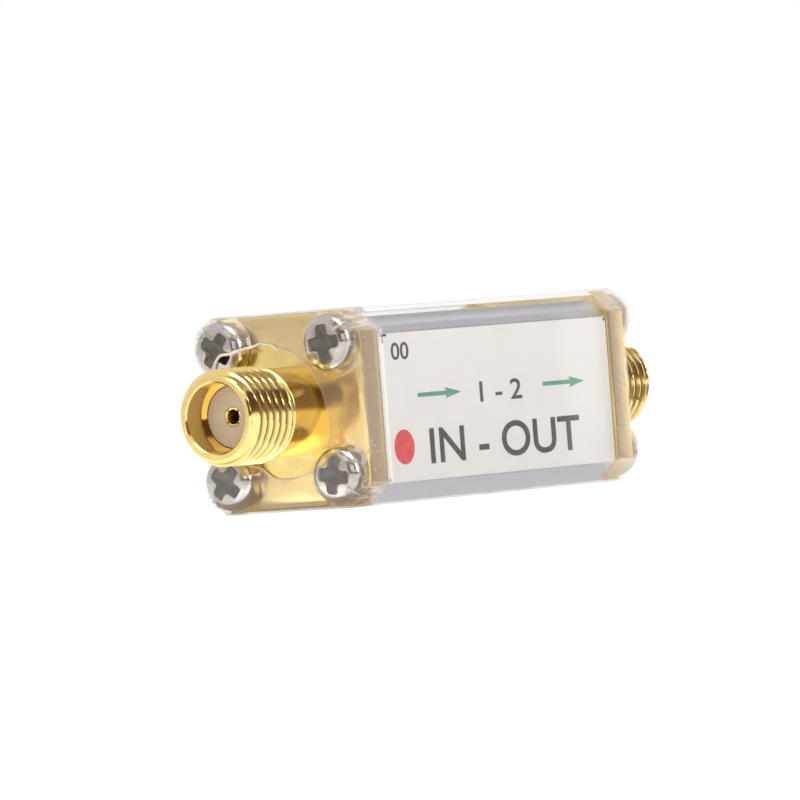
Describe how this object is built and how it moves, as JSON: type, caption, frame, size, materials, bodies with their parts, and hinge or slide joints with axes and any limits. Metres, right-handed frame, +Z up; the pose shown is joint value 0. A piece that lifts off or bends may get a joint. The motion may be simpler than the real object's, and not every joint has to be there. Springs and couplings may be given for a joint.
{
  "type": "coaxial rf isolator",
  "caption": "Square-bar RF isolator with a threaded coaxial socket on each end, flange screws, a printed label and a clear shrink sleeve.",
  "frame": {"origin": "on the connector axis, halfway along the housing", "axes": "+X along the connector axis from the input port to the output port, -Y out of the labelled face, +Z up"},
  "size_m": [0.0464, 0.013, 0.013],
  "materials": {
    "nickel_plate": "nickel plated, satin",
    "gold_plate": "gold plated, bright",
    "stainless_steel": "polished",
    "ptfe": "turned, translucent white",
    "label_paper": "printed in green, red and dark grey",
    "clear_film": "clear, glossy, heat shrunk",
    "silver_plate": "silver plated",
    "plain_steel": "ground",
    "garnet_ferrite": "ground",
    "ferrite_magnet": "ground",
    "alumina": "matt white"
  },
  "bodies": {
    "root": {"housing": "nickel_plate", "housing_lid": "nickel_plate", "label": "label_paper", "shrink_sleeve": "clear_film", "input_connector": "gold_plate", "input_dielectric": "ptfe", "input_contact": "gold_plate", "input_screw_1": "stainless_steel", "input_screw_2": "stainless_steel", "input_screw_3": "stainless_steel", "input_screw_4": "stainless_steel", "output_connector": "gold_plate", "output_dielectric": "ptfe", "output_contact": "gold_plate", "output_screw_1": "stainless_steel", "output_screw_2": "stainless_steel", "output_screw_3": "stainless_steel", "output_screw_4": "stainless_steel", "centre_conductor": "silver_plate", "load_resistor": "alumina", "front_ferrite": "garnet_ferrite", "back_ferrite": "garnet_ferrite", "front_ground_plate": "silver_plate", "back_ground_plate": "silver_plate", "front_pole_piece": "plain_steel", "back_pole_piece": "plain_steel", "front_magnet": "ferrite_magnet", "back_magnet": "ferrite_magnet"}
  },
  "joints": []
}
